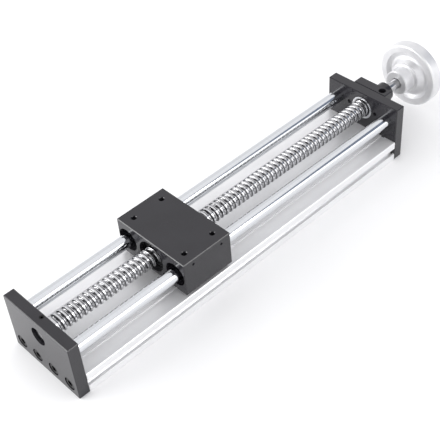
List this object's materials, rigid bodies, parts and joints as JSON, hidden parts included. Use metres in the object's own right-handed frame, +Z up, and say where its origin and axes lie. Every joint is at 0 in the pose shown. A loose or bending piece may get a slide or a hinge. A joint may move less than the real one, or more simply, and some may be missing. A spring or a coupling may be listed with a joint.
{
  "type": "ball screw linear module",
  "caption": "Manual linear stage: a handwheel turns a ball screw that moves a carriage along two round guide rods, between end plates on a slotted aluminium base.",
  "frame": {"origin": "centre of the base profile's underside", "axes": "+X across the module, +Y along the screw towards the handwheel, +Z up from the base to the carriage top"},
  "size_m": [0.08, 0.448, 0.0715],
  "materials": {
    "profile_silver": "satin silver anodised",
    "plate_black": "semi-gloss black anodised aluminium",
    "rod_chrome": "hard chromed and ground",
    "screw_black": "black oxide",
    "bearing_steel": "ground",
    "ball_chrome": "polished",
    "cage_plastic": "moulded",
    "cap_plastic": "moulded",
    "screw_chrome": "rolled and polished",
    "spring_steel": "black spring steel",
    "wheel_aluminium": "bright turned",
    "nut_steel": "ground",
    "seal_rubber": "matt",
    "wiper_plastic": "moulded"
  },
  "bodies": {
    "module": {"base_profile": "profile_silver", "tail_plate": "plate_black", "drive_plate": "plate_black", "bearing_block": "plate_black", "guide_rod_left": "rod_chrome", "guide_rod_right": "rod_chrome", "tail_base_screws": "screw_black", "drive_base_screws": "screw_black", "block_screws": "screw_black", "tail_bearing_lock_screw": "screw_black", "tail_bearing_outer_ring": "bearing_steel", "drive_bearing_outer_ring": "bearing_steel", "block_bearing_outer_ring": "bearing_steel", "bearing_seals": "seal_rubber"},
    "screw": {"ball_screw": "screw_chrome", "tail_bearing_inner_ring": "bearing_steel", "drive_bearing_inner_ring": "bearing_steel", "block_bearing_inner_ring": "bearing_steel", "bearing_spacer": "bearing_steel", "bearing_cages": "cage_plastic", "bearing_balls": "ball_chrome", "tail_retaining_ring": "spring_steel", "lock_collar": "plate_black", "collar_set_screw": "screw_black", "handwheel": "wheel_aluminium", "handwheel_set_screw": "screw_black"},
    "carriage": {"carriage_block": "plate_black", "bushing_sleeve_left": "bearing_steel", "bushing_sleeve_right": "bearing_steel", "bushing_cage_left": "cage_plastic", "bushing_cage_right": "cage_plastic", "bushing_balls_left": "ball_chrome", "bushing_balls_right": "ball_chrome", "bushing_seals_left": "seal_rubber", "bushing_seals_right": "seal_rubber", "ball_nut": "nut_steel", "nut_balls": "ball_chrome", "nut_return_caps": "cap_plastic", "nut_wipers": "wiper_plastic", "nut_retaining_rings": "spring_steel", "nut_lock_screw": "screw_black"}
  },
  "joints": [
    {"name": "screw_turn", "type": "hinge", "parent": "module", "child": "screw", "pos_m": [0, 0, 0.04], "axis": [0, -1, 0], "range_deg": [-6980, 14610]},
    {"name": "carriage_slide", "type": "slide", "parent": "module", "child": "carriage", "axis": [0, 1, 0], "range_m": [-0.097, 0.203]}
  ],
  "couplings": [
    {"joint": "carriage_slide", "follows": "screw_turn", "m_per_rad": 0.00079577}
  ]
}
